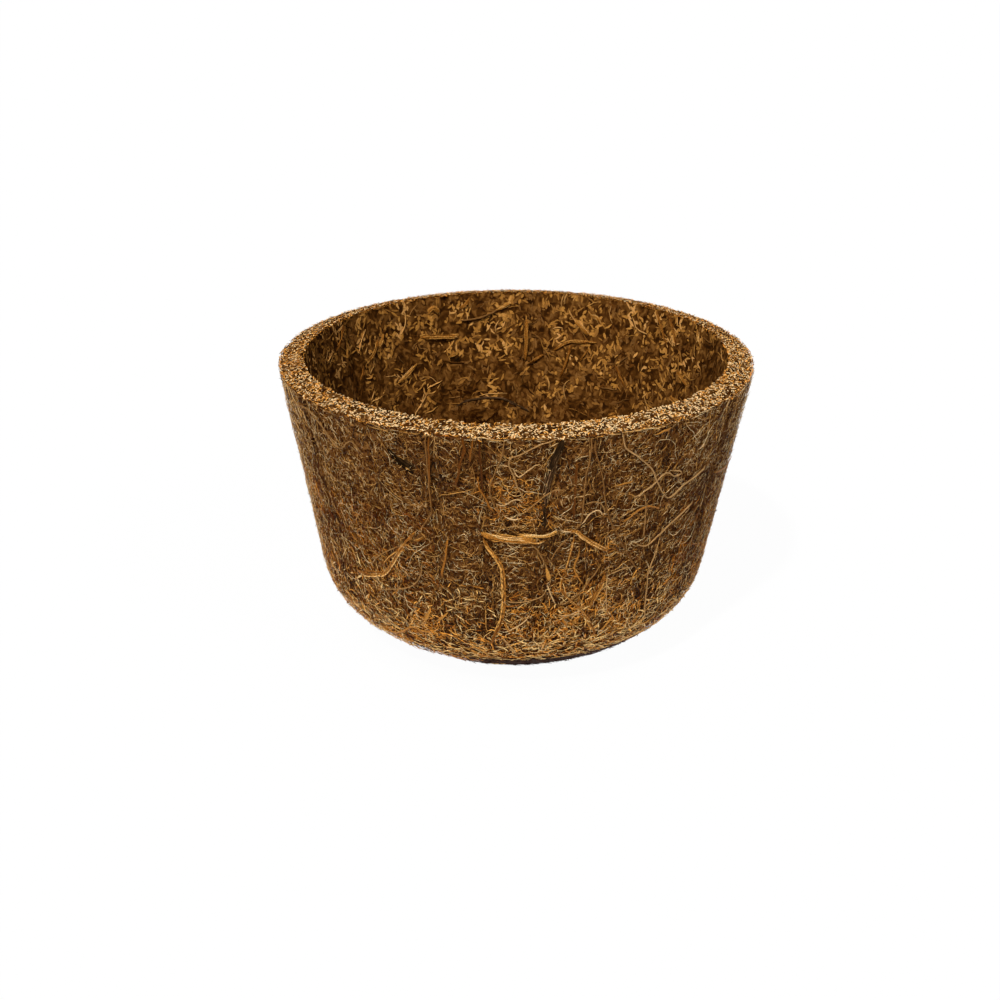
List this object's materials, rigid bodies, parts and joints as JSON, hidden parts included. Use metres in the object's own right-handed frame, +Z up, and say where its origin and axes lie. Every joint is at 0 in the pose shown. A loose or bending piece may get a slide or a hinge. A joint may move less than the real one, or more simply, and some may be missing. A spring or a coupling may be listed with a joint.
{
  "type": "coir pot",
  "caption": "Round flared plant pot pressed from two plies of coconut-fibre felt, with a rounded heel, flat underside, trimmed rim and loose husk strands.",
  "frame": {"origin": "centre of the flat underside, on the pot's axis", "axes": "+Z up along the pot's axis, the pictured front faces -Y, +X to the right seen from the front"},
  "size_m": [0.127, 0.127, 0.0786],
  "materials": {
    "outer_felt": "matte",
    "inner_felt": "matte",
    "gold_husk": "matte",
    "tan_fibre": "matte",
    "dark_husk": "matte"
  },
  "bodies": {
    "root": {"outer_felt": "outer_felt", "inner_felt": "inner_felt", "front_husk_ribbon": "gold_husk", "front_ribbon_tail": "gold_husk", "left_husk_sliver": "gold_husk", "centre_husk_ribbon": "gold_husk", "heel_ribbon": "gold_husk", "heel_cross_strand": "gold_husk", "heel_straw": "tan_fibre", "dark_husk_strip": "dark_husk", "long_curl": "tan_fibre", "long_thread": "tan_fibre", "left_curly_thread": "tan_fibre", "left_upright_fibre": "tan_fibre", "centre_loop_thread": "tan_fibre", "arc_thread": "tan_fibre", "right_arc_thread": "tan_fibre", "right_upright_fibre": "tan_fibre", "inner_pale_thread": "tan_fibre", "inner_bent_strand": "gold_husk", "inner_dark_curl": "dark_husk", "back_husk_ribbon": "gold_husk", "back_husk_sliver": "gold_husk", "back_long_curl": "tan_fibre", "side_long_thread": "tan_fibre", "pith_fleck": "dark_husk"}
  },
  "joints": []
}
